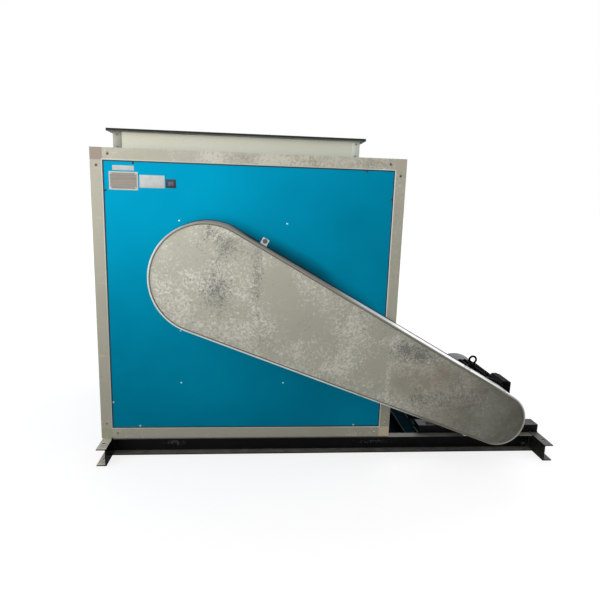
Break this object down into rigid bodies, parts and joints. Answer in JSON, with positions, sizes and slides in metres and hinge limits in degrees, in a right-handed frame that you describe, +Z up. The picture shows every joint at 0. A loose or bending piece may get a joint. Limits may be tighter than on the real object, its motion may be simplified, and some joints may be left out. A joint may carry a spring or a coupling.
{
  "type": "belt driven cabinet centrifugal fan",
  "caption": "Box cabinet centrifugal fan on a channel base, with a roof outlet collar, a teardrop belt guard and a foot motor on slide rails beside it.",
  "frame": {"origin": "centre of the four anchor holes of the base, on the floor", "axes": "+X from the cabinet towards the motor, +Y from the belt side to the inlet side, +Z up"},
  "size_m": [2.1275, 1.48, 1.465],
  "materials": {
    "base_paint": "gloss black paint on rolled steel channel",
    "frame_profile": "satin, slightly weathered",
    "corner_casting": "matt cast",
    "panel_paint": "gloss blue paint on steel sheet",
    "collar_sheet": "galvanised, satin",
    "guard_sheet": "galvanised with spangle",
    "blower_sheet": "galvanised, satin",
    "fasteners": "zinc plated",
    "plate_metal": "satin",
    "shaft_steel": "ground",
    "iron_castings": "machined and oiled",
    "core_iron": "laminated, varnished",
    "belt_rubber": "matt",
    "motor_iron": "black paint",
    "cowl_paint": "black paint",
    "moulded_plastic": "moulded, matt"
  },
  "bodies": {
    "base": {"base_rail_front": "base_paint", "base_rail_rear": "base_paint", "base_cross_left": "base_paint", "base_cross_right": "base_paint", "base_cross_mid": "base_paint", "base_pan": "base_paint", "motor_rail_front": "base_paint", "motor_rail_rear": "base_paint", "frame_posts": "frame_profile", "frame_side_rails": "frame_profile", "frame_bottom_rail_front": "frame_profile", "frame_bottom_rail_rear": "frame_profile", "frame_top_rail_front": "frame_profile", "frame_top_rail_rear": "frame_profile", "frame_corners": "corner_casting", "front_panel": "panel_paint", "rear_panel": "panel_paint", "left_panel": "panel_paint", "right_panel": "panel_paint", "bottom_panel": "panel_paint", "top_panel": "panel_paint", "rivets": "fasteners", "panel_screws": "fasteners", "nameplate": "plate_metal", "outlet_collar": "collar_sheet", "inlet_collar": "collar_sheet", "scroll_wrap": "blower_sheet", "scroll_side_front": "blower_sheet", "scroll_side_rear": "blower_sheet", "inlet_cone_front": "blower_sheet", "inlet_cone_rear": "blower_sheet", "scroll_stand": "blower_sheet", "bearing_posts": "blower_sheet", "bearing_beams": "blower_sheet", "bearing_housings": "iron_castings", "drive_belts": "belt_rubber", "guard_rim": "guard_sheet", "guard_face": "guard_sheet", "guard_back_plate": "guard_sheet", "guard_brackets": "guard_sheet", "guard_bolts": "fasteners"},
    "fan_rotor": {"fan_shaft": "shaft_steel", "impeller_disc": "blower_sheet", "impeller_hub": "iron_castings", "impeller_rings": "blower_sheet", "impeller_blades": "blower_sheet", "bearing_sleeves": "shaft_steel", "fan_pulley": "iron_castings"},
    "motor_carriage": {"motor_frame": "motor_iron", "motor_end_shields": "motor_iron", "motor_fan_cowl": "cowl_paint", "motor_stator": "core_iron", "terminal_box": "motor_iron", "terminal_lid": "motor_iron", "cable_gland": "moulded_plastic", "lifting_eye": "fasteners", "motor_foot_bolts": "fasteners", "tension_screws": "fasteners"},
    "motor_rotor": {"motor_shaft": "shaft_steel", "motor_rotor_core": "core_iron", "motor_cooling_fan": "moulded_plastic", "motor_pulley": "iron_castings"}
  },
  "joints": [
    {"name": "fan_spin", "type": "hinge", "parent": "base", "child": "fan_rotor", "pos_m": [-0.573, 0, 0.857], "axis": [0, 1, 0], "continuous": true},
    {"name": "motor_slide", "type": "slide", "parent": "base", "child": "motor_carriage", "axis": [1, 0, 0], "range_m": [-0.02, 0.025], "deforming": ["drive_belts"]},
    {"name": "motor_spin", "type": "hinge", "parent": "motor_carriage", "child": "motor_rotor", "pos_m": [0.741, 0, 0.252], "axis": [0, 1, 0], "continuous": true}
  ],
  "couplings": [
    {"joint": "motor_spin", "follows": "fan_spin", "ratio": 2.5357}
  ]
}
